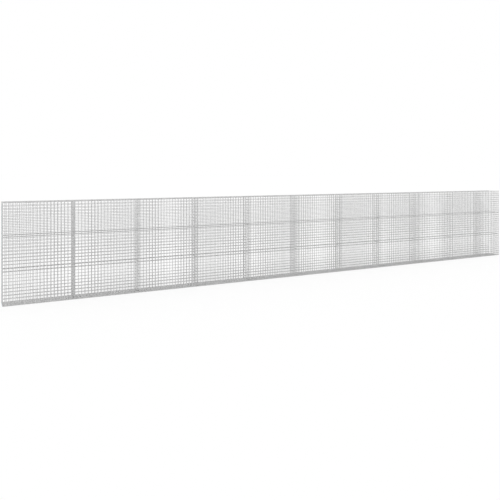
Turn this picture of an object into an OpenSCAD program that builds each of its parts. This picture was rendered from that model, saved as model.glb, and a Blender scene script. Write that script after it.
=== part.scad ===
// Welded-mesh gabion wall: a row of open-topped wire baskets, empty, three
// tiers of panels high, with a dividing panel between each pair of bays.
// The row runs along X, its front face looks towards -Y, and it stands on z = 0.

/* [Row] */
// Length of one full bay
bay_l = 1000; // [600:100:1200]
// Length of the short closing bay at the right end
last_l = 500; // [300:100:1000]
// Depth of the baskets over the outside of both faces
depth = 310; // [250:10:500]
// Height of one tier of panels
tier_h = 500; // [300:100:600]

/* [Mesh] */
// Diameter of the wire in the faces and the base
wire = 8; // [4:0.5:10]
// Diameter of the wire in the dividers and ends
cross_wire = 6; // [4:0.5:8]
// Spacing of the upright bars in a panel
bar_pitch = 100; // [80:10:150]
// Spacing of the level rails in a panel
rail_pitch = 250; // [150:50:300]
// Spacing of the rails in a base panel
base_pitch = 150; // [100:50:250]
// How far a bar sinks into a rail at a weld
weld = 2; // [1:0.5:3]
// Diameter of the rim wire up the sides of each face panel and along the top
rim = 5; // [4:0.5:8]
// How far the rim wire sinks onto the ends of the bars
rim_weld = 1; // [0.5:0.25:1.5]

/* [Joints] */
// Clearance between neighbouring panels
joint = 0.4; // [0.3:0.1:0.8]
// Height of the uprights' lower ends over the underside of the base
lift = 4; // [0:1:8]

/* [Hidden] */
bays = 10;
tiers = 3;
row_l = bays * bay_l + last_l;
left_x = -row_l / 2;
right_x = row_l / 2;
// Both layers of a panel together, in the faces and the base
panel_t = 2 * wire - weld;
// The same in the dividers and ends
cross_t = 2 * cross_wire - weld;
front_y = -depth / 2;
back_y = depth / 2;
// Room between the faces for dividers, ends and bases
inner_d = depth - 2 * panel_t - 2 * joint;
inner_y = -inner_d / 2;
galvanised = [0.62, 0.64, 0.65];

// Number of equal gaps that come closest to a wanted pitch, where the wires at
// the two ends are of thickness w
function gaps(size, pitch, w) = max(1, round((size - w) / pitch));

// Distance from one wire to the next over that number of gaps
function step(size, pitch, w) = (size - w) / gaps(size, pitch, w);

// A flat mesh panel with its corner on the origin, l along X and h along Y:
// bars along Y and rails along X in two layers, welded where they cross. Its
// wire is of thickness w, and its first and last bar are of thickness side.
module mesh_panel(l, h, across, up, bars_z, rails_z, w, side) {
    last = gaps(l, across, side);
    union() {
        for (j = [0 : gaps(h, up, w)])
            translate([0, j * step(h, up, w), rails_z])
                cube([l, w, w]);
        for (i = [0 : last]) {
            bar = i == 0 || i == last ? side : w;
            translate([(side - bar) / 2 + i * step(l, across, side), 0, bars_z + w - bar])
                cube([bar, h, bar]);
        }
    }
}

// A panel of one tier stood upright, its bars on the side facing -Y
module upright_panel(l, w, side) {
    rotate([90, 0, 0])
        mirror([0, 0, 1])
            mesh_panel(l, tier_h - joint, bar_pitch, rail_pitch, 0, w - weld, w, side);
}

// Three tiers of upright panels, each clear of the next by the joint
module tier_stack(l, w, side) {
    for (t = [0 : tiers - 1])
        translate([0, 0, lift + t * tier_h])
            upright_panel(l, w, side);
}

// Three tiers with rim wires for their sides, and one welded along the upper
// ends of the top bars
module face_stack(l) {
    union() {
        tier_stack(l, wire, rim);
        translate([0, wire - rim, lift + tiers * tier_h - joint - rim_weld])
            cube([l, rim, rim]);
    }
}

// Where bay n starts, counted from 0 at the left, and how long it is
function bay_x(n) = left_x + n * bay_l;
function bay_len(n) = n < bays ? bay_l : last_l;

// One bay of the front face, its bars outside
module front_face(n) {
    color(galvanised)
        translate([bay_x(n) + joint / 2, front_y, 0])
            face_stack(bay_len(n) - joint);
}

// One bay of the back face, turned so that its bars are outside
module back_face(n) {
    color(galvanised)
        translate([bay_x(n) + joint / 2, back_y, 0])
            mirror([0, 1, 0])
                face_stack(bay_len(n) - joint);
}

// A cross panel between the two faces, starting at x and thick towards +X
module cross_face(x) {
    color(galvanised)
        translate([x + cross_t, inner_y, 0])
            rotate([0, 0, 90])
                tier_stack(inner_d, cross_wire, cross_wire);
}

// The divider at the seam after bay n
module divider(n) {
    cross_face(bay_x(n + 1) - cross_t / 2);
}

// The floor of bay n, between the cross panels at its ends, its rails lowest
module base_face(n) {
    from_x = n == 0 ? left_x + cross_t + joint : bay_x(n) + cross_t / 2 + joint;
    to_x = n == bays ? right_x - cross_t - joint : bay_x(n + 1) - cross_t / 2 - joint;
    color(galvanised)
        translate([from_x, inner_y, 0])
            mesh_panel(to_x - from_x, inner_d, bar_pitch, base_pitch, wire - weld, 0, wire, wire);
}

module front_panel_01() { front_face(0); }
module front_panel_02() { front_face(1); }
module front_panel_03() { front_face(2); }
module front_panel_04() { front_face(3); }
module front_panel_05() { front_face(4); }
module front_panel_06() { front_face(5); }
module front_panel_07() { front_face(6); }
module front_panel_08() { front_face(7); }
module front_panel_09() { front_face(8); }
module front_panel_10() { front_face(9); }
module front_panel_11() { front_face(10); }
module back_panel_01() { back_face(0); }
module back_panel_02() { back_face(1); }
module back_panel_03() { back_face(2); }
module back_panel_04() { back_face(3); }
module back_panel_05() { back_face(4); }
module back_panel_06() { back_face(5); }
module back_panel_07() { back_face(6); }
module back_panel_08() { back_face(7); }
module back_panel_09() { back_face(8); }
module back_panel_10() { back_face(9); }
module back_panel_11() { back_face(10); }
module left_end_panel() { cross_face(left_x); }
module right_end_panel() { cross_face(right_x - cross_t); }
module divider_01() { divider(0); }
module divider_02() { divider(1); }
module divider_03() { divider(2); }
module divider_04() { divider(3); }
module divider_05() { divider(4); }
module divider_06() { divider(5); }
module divider_07() { divider(6); }
module divider_08() { divider(7); }
module divider_09() { divider(8); }
module divider_10() { divider(9); }
module base_panel_01() { base_face(0); }
module base_panel_02() { base_face(1); }
module base_panel_03() { base_face(2); }
module base_panel_04() { base_face(3); }
module base_panel_05() { base_face(4); }
module base_panel_06() { base_face(5); }
module base_panel_07() { base_face(6); }
module base_panel_08() { base_face(7); }
module base_panel_09() { base_face(8); }
module base_panel_10() { base_face(9); }
module base_panel_11() { base_face(10); }

front_panel_01();
front_panel_02();
front_panel_03();
front_panel_04();
front_panel_05();
front_panel_06();
front_panel_07();
front_panel_08();
front_panel_09();
front_panel_10();
front_panel_11();
back_panel_01();
back_panel_02();
back_panel_03();
back_panel_04();
back_panel_05();
back_panel_06();
back_panel_07();
back_panel_08();
back_panel_09();
back_panel_10();
back_panel_11();
left_end_panel();
right_end_panel();
divider_01();
divider_02();
divider_03();
divider_04();
divider_05();
divider_06();
divider_07();
divider_08();
divider_09();
divider_10();
base_panel_01();
base_panel_02();
base_panel_03();
base_panel_04();
base_panel_05();
base_panel_06();
base_panel_07();
base_panel_08();
base_panel_09();
base_panel_10();
base_panel_11();
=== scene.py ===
import math

import bpy
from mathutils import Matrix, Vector


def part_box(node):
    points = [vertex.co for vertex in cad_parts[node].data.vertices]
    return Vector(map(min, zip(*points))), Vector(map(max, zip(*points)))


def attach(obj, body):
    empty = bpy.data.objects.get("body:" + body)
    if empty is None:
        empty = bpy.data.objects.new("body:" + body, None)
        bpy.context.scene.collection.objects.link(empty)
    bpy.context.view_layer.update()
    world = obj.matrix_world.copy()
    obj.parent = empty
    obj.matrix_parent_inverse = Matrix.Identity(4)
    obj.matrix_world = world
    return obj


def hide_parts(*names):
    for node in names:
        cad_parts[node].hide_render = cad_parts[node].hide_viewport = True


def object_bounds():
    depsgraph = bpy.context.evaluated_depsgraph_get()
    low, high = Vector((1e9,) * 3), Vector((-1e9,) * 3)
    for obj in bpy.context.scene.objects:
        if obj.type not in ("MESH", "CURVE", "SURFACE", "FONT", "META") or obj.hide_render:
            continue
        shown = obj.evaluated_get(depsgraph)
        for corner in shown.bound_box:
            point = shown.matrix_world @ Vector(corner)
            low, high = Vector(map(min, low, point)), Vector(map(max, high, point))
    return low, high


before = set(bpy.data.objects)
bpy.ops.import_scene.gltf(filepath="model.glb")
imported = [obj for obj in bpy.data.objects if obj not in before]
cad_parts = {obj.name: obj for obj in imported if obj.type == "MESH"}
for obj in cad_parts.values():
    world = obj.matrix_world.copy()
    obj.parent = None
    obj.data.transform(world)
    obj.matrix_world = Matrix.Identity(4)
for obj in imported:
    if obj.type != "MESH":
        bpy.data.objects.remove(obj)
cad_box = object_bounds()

# Gabion wall: an empty row of open-topped baskets in 50 mm welded mesh.
# Every panel is made from its own straight wires, upright wires on the outside
# and level wires welded behind them, with the cut ends dressed. A thinner rim
# wire runs up the sides of each face panel and along the top of both faces.
# Lengths are in metres.

WIRE = 0.008            # wire of the faces and the base
CROSS_WIRE = 0.006      # wire of the dividers and ends
RIM = 0.005             # rim wire of the faces
WELD = 0.002            # how far two wires sink together where they cross
RIM_WELD = 0.001        # how far the rim wire sinks onto the top of a face
PITCH = 0.05            # nominal mesh
CROSS_CELLS = 6         # cells over the depth of a basket
JOINT = 0.0004          # clearance between neighbouring panels
TIERS = 3
SIDES = 12              # facets round a wire
END_DRESS = 0.001       # chamfer on a cut wire end
END_FACING = 0.9        # how squarely a facet faces along the wire to be its end
ROUND_UP_TO = math.radians(40)      # flatter edges than this are shaded round

DULL_ZINC = (0.50, 0.50, 0.50)
MID_ZINC = (0.61, 0.61, 0.61)
BRIGHT_ZINC = (0.74, 0.74, 0.74)


# ---------------------------------------------------------------- materials

class Val:
    """A shader value that can be used in plain Python sums."""

    def __init__(self, nodes, socket):
        self.nodes = nodes
        self.socket = socket

    def _math(self, operation, other):
        return self.nodes.node("ShaderNodeMath", {"operation": operation},
                               {0: self, 1: other})

    def __add__(self, other):
        return self._math("ADD", other)

    def __mul__(self, other):
        return self._math("MULTIPLY", other)

    __radd__ = __add__
    __rmul__ = __mul__


class Nodes:
    """The node tree of one material or of the world, built node by node."""

    def __init__(self, owner):
        owner.use_nodes = True
        self.tree = owner.node_tree
        self.tree.nodes.clear()

    def node(self, kind, settings=None, inputs=None, output=0):
        made = self.tree.nodes.new(kind)
        for name, value in (settings or {}).items():
            if name == "stops":
                self._stops(made, value)
            else:
                setattr(made, name, value)
        for name, value in (inputs or {}).items():
            if isinstance(value, Val):
                self.tree.links.new(value.socket, made.inputs[name])
            else:
                made.inputs[name].default_value = value
        return Val(self, made.outputs[output]) if made.outputs else None

    @staticmethod
    def _stops(ramp, stops):
        band = ramp.color_ramp
        while len(band.elements) < len(stops):
            band.elements.new(0.5)
        for element, (place, colour) in zip(band.elements, stops):
            element.position = place
            element.color = (*colour, 1.0)


def galvanised_wire():
    """Hot-dip zinc on steel wire: dull grey with cloudy patches and fine grit."""
    material = bpy.data.materials.new("galvanised_wire")
    zinc = Nodes(material)
    where = zinc.node("ShaderNodeTexCoord", output="Object")

    def noise(scale, detail, roughness):
        return zinc.node("ShaderNodeTexNoise", {"noise_dimensions": "3D"},
                         {"Vector": where, "Scale": scale, "Detail": detail,
                          "Roughness": roughness})

    cloud = noise(22.0, 3.0, 0.55)
    spangle = noise(260.0, 2.0, 0.5)
    grit = noise(1400.0, 1.0, 0.5)
    tone = zinc.node("ShaderNodeValToRGB",
                     {"stops": [(0.30, DULL_ZINC), (0.50, MID_ZINC), (0.72, BRIGHT_ZINC)]},
                     {"Fac": cloud * 0.6 + spangle * 0.4})
    bump = zinc.node("ShaderNodeBump", None,
                     {"Strength": 0.25, "Distance": 0.0002,
                      "Height": spangle * 0.6 + grit * 0.4})
    skin = zinc.node("ShaderNodeBsdfPrincipled", None,
                     {"Base Color": tone, "Roughness": 0.36 + 0.30 * cloud + 0.08 * grit,
                      "Metallic": 0.5, "Normal": bump})
    zinc.node("ShaderNodeOutputMaterial", None, {"Surface": skin})
    return material


# ------------------------------------------------------------------ modelling

def only(*objects):
    """Selects these objects and nothing else, the first one active."""
    if bpy.context.mode != "OBJECT":
        bpy.ops.object.mode_set(mode="OBJECT")
    bpy.ops.object.select_all(action="DESELECT")
    for item in objects:
        item.select_set(True)
    bpy.context.view_layer.objects.active = objects[0]


def apply_place(item):
    """Puts the object's place and turn into its mesh."""
    only(item)
    bpy.ops.object.transform_apply(location=True, rotation=True, scale=True)


def repeat(item, count, offset):
    """Repeats the mesh along a constant offset."""
    only(item)
    row = item.modifiers.new("Row", "ARRAY")
    row.use_relative_offset = False
    row.use_constant_offset = True
    row.constant_offset_displace = offset
    row.count = count
    bpy.ops.object.modifier_apply(modifier=row.name)


def cut_wire(length, along, diameter):
    """A straight wire from the origin along X or Z, its sheared ends dressed."""
    axis = "XYZ".index(along)
    middle = Vector((0, 0, 0))
    middle[axis] = length / 2
    bpy.ops.object.select_all(action="DESELECT")
    bpy.ops.mesh.primitive_cylinder_add(
        vertices=SIDES, radius=diameter / 2, depth=length, location=middle,
        rotation=(0, math.pi / 2 if along == "X" else 0, 0))
    wire = bpy.context.object
    apply_place(wire)
    bpy.ops.object.mode_set(mode="EDIT")
    bpy.ops.mesh.select_mode(type="FACE")
    bpy.ops.mesh.select_all(action="DESELECT")
    bpy.ops.object.mode_set(mode="OBJECT")
    for facet in wire.data.polygons:
        facet.select = abs(facet.normal[axis]) > END_FACING
    bpy.ops.object.mode_set(mode="EDIT")
    bpy.ops.mesh.region_to_loop()
    bpy.ops.mesh.bevel(offset=END_DRESS, segments=1, affect="EDGES")
    bpy.ops.object.mode_set(mode="OBJECT")
    return wire


def wire_row(length, along, diameter, first, count=1, offset=(0, 0, 0)):
    """A row of equal wires, the first of them starting at a given place."""
    wire = cut_wire(length, along, diameter)
    wire.location = first
    apply_place(wire)
    repeat(wire, count, offset)
    return wire


def welded(*rows):
    """Rows of wire made one piece."""
    only(*rows)
    bpy.ops.object.join()
    return rows[0]


def cells(size, wire):
    """Whole cells over a size, the number that comes closest to the mesh."""
    return max(1, round((size - wire) / PITCH))


def layers(wire):
    """Middles of the outer and the inner layer of wires in a panel."""
    return wire / 2, wire * 1.5 - WELD


def mesh_panel(length, height, across, up, wire, upright_y, level_y, side):
    """A flat mesh standing on the origin, length along X and height along Z,
    with its upright and its level wires each in a layer of their own. The
    upright at each side is of the side wire and lies against the level wires."""
    step = (length - side) / across
    levels = wire_row(length, "X", wire, (0, level_y, wire / 2),
                      up + 1, (0, 0, (height - wire) / up))
    uprights = wire_row(height, "Z", wire, (side / 2 + step, upright_y, 0),
                        across - 1, (step, 0, 0))
    sides = wire_row(height, "Z", side, (side / 2, upright_y + (wire - side) / 2, 0),
                     2, (length - side, 0, 0))
    return welded(levels, uprights, sides)


def stack(length, across, height, wire, side):
    """Three tiers of upright panels, one above the other."""
    rise = (height + JOINT) / TIERS
    tier = rise - JOINT
    outer, inner = layers(wire)
    panels = mesh_panel(length, tier, across, cells(tier, wire), wire, outer, inner, side)
    repeat(panels, TIERS, (0, 0, rise))
    return panels


def face(length, height):
    """One bay of a face, its top rim wire lying along the ends of the uprights."""
    panels = stack(length, cells(length, RIM), height - RIM + RIM_WELD, WIRE, RIM)
    top = wire_row(length, "X", RIM, (0, WIRE - RIM / 2, height - RIM / 2))
    return welded(panels, top)


def cross(length, height):
    """A divider or an end of the row."""
    return stack(length, CROSS_CELLS, height, CROSS_WIRE, CROSS_WIRE)


def base(length, width):
    """The floor of one bay, stood upright, its long wires in the outer layer."""
    outer, inner = layers(WIRE)
    return mesh_panel(length, width, cells(length, WIRE), CROSS_CELLS, WIRE,
                      inner, outer, WIRE)


models = {}             # the finished meshes by kind and length, to copy from


def pattern(make, length, height):
    """The mesh of one kind and size, modelled the first time it is asked for,
    with the wires shaded round and their dressed ends crisp."""
    key = (make.__name__, round(length, 5))
    if key not in models:
        models[key] = make(length, height)
        only(models[key])
        bpy.ops.object.shade_smooth_by_angle(angle=ROUND_UP_TO)
    return models[key]


def place_copy(source, name, location, turn=(0, 0, 0), mirror_y=False):
    """A copy with its own mesh, put in place and finished at the origin."""
    piece = source.copy()
    piece.data = source.data.copy()
    piece.name = piece.data.name = name
    bpy.context.collection.objects.link(piece)
    if mirror_y:
        piece.scale = (1, -1, 1)
    piece.rotation_euler = turn
    piece.location = location
    apply_place(piece)
    if mirror_y:
        bpy.ops.object.mode_set(mode="EDIT")
        bpy.ops.mesh.select_all(action="SELECT")
        bpy.ops.mesh.normals_make_consistent(inside=False)
        bpy.ops.object.mode_set(mode="OBJECT")
    return piece


def panel_for(node, name):
    """The full mesh in the place of one plain panel."""
    low, high = (Vector(corner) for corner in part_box(node))
    size = high - low
    back_corner = (low.x, high.y, low.z)
    if node.startswith("front_panel"):
        return place_copy(pattern(face, size.x, size.z), name, low)
    if node.startswith("back_panel"):
        return place_copy(pattern(face, size.x, size.z), name, back_corner,
                          mirror_y=True)
    if node.startswith("base_panel"):
        return place_copy(pattern(base, size.x, size.y), name, back_corner,
                          turn=(math.pi / 2, 0, 0))
    return place_copy(pattern(cross, size.y, size.z), name,
                      (high.x, low.y, low.z), turn=(0, 0, math.pi / 2))


ZINC = galvanised_wire()

for node in sorted(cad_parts):
    piece = panel_for(node, node.replace("panel", "mesh").replace("divider", "divider_mesh"))
    piece.data.materials.clear()
    piece.data.materials.append(ZINC)
    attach(piece, "root")
    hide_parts(node)

for model in models.values():
    bpy.data.meshes.remove(model.data)


# --------------------------------------------------------------------- studio

FLOOR_SIZE = 400
FLOOR_DROP = 0.0005     # how far the floor lies under the base, so that they don't touch
FLOOR_WHITE = 0.7       # how much of the seen floor is plain white, over its shadow
PALE = (0.80, 0.80, 0.80, 1)
WHITE = (1, 1, 1, 1)
SKY_STRENGTH = 0.75
KEY_STRENGTH = 1.4
KEY_WIDTH = math.radians(40)        # breadth of the lamp, which softens its shadow
KEY_TILT = math.radians(55)         # from straight down
KEY_TURN = math.radians(-70)
LENS = 40.3696          # focal length in mm, on a sensor 36 mm wide
SHIFT = (-0.05, -0.15574)
EYE_LEFT = 0.46940      # how far the eye stands to the left of the row's left end
EYE_AWAY = 8.97066      # and how far in front of the front face
EYE_HEIGHT = 1.94484
EYE_TURN = math.radians(-28.94384)  # towards the right end of the row
FAR_CLIP = 500


def seen(nodes):
    """1 for rays that show the background: straight, mirrored or through glass."""
    straight, mirrored, clear = (
        nodes.node("ShaderNodeLightPath", output=kind)
        for kind in ("Is Camera Ray", "Is Glossy Ray", "Is Transmission Ray"))
    return straight + mirrored + clear


def pale_floor():
    """A plain floor that is seen as white and keeps a soft shadow."""
    material = bpy.data.materials.new("pale_floor")
    look = Nodes(material)
    shown = seen(look)
    tone = look.node("ShaderNodeMix", {"data_type": "RGBA"},
                     {"Factor": shown, 6: PALE, 7: WHITE}, output=2)
    matt = look.node("ShaderNodeBsdfDiffuse", None, {"Color": tone})
    white = look.node("ShaderNodeEmission", None, {"Color": WHITE, "Strength": 1.0})
    both = look.node("ShaderNodeMixShader", None,
                     {0: shown * FLOOR_WHITE, 1: matt, 2: white})
    look.node("ShaderNodeOutputMaterial", None, {"Surface": both})
    bpy.ops.object.select_all(action="DESELECT")
    bpy.ops.mesh.primitive_plane_add(size=FLOOR_SIZE, location=(0, 0, -FLOOR_DROP))
    floor = bpy.context.object
    floor.name = "studio_floor"
    floor.data.materials.append(material)


def studio_world():
    """Soft light from all round, seen as plain white."""
    world = bpy.data.worlds.new("studio")
    bpy.context.scene.world = world
    sky = Nodes(world)
    soft = sky.node("ShaderNodeBackground", None,
                    {"Color": WHITE, "Strength": SKY_STRENGTH})
    white = sky.node("ShaderNodeBackground", None, {"Color": WHITE, "Strength": 1.0})
    both = sky.node("ShaderNodeMixShader", None, {0: seen(sky), 1: soft, 2: white})
    sky.node("ShaderNodeOutputWorld", None, {"Surface": both})


def soft_key():
    """A broad lamp from the upper left."""
    lamp = bpy.data.lights.new("soft_key", "SUN")
    lamp.energy = KEY_STRENGTH
    lamp.angle = KEY_WIDTH
    key = bpy.data.objects.new("soft_key", lamp)
    key.rotation_euler = (KEY_TILT, 0, KEY_TURN)
    bpy.context.collection.objects.link(key)


def camera():
    """A level view at eye height, from in front of the left end along the row."""
    lens = bpy.data.cameras.new("view")
    lens.sensor_width = 36.0
    lens.lens = LENS
    lens.shift_x, lens.shift_y = SHIFT
    lens.clip_end = FAR_CLIP
    eye = bpy.data.objects.new("view", lens)
    left, front = cad_box[0][0], cad_box[0][1]
    eye.location = (left - EYE_LEFT, front - EYE_AWAY, EYE_HEIGHT)
    eye.rotation_euler = (math.pi / 2, 0, EYE_TURN)
    bpy.context.collection.objects.link(eye)
    bpy.context.scene.camera = eye


bpy.context.scene.view_settings.view_transform = "Standard"
pale_floor()
studio_world()
soft_key()
camera()
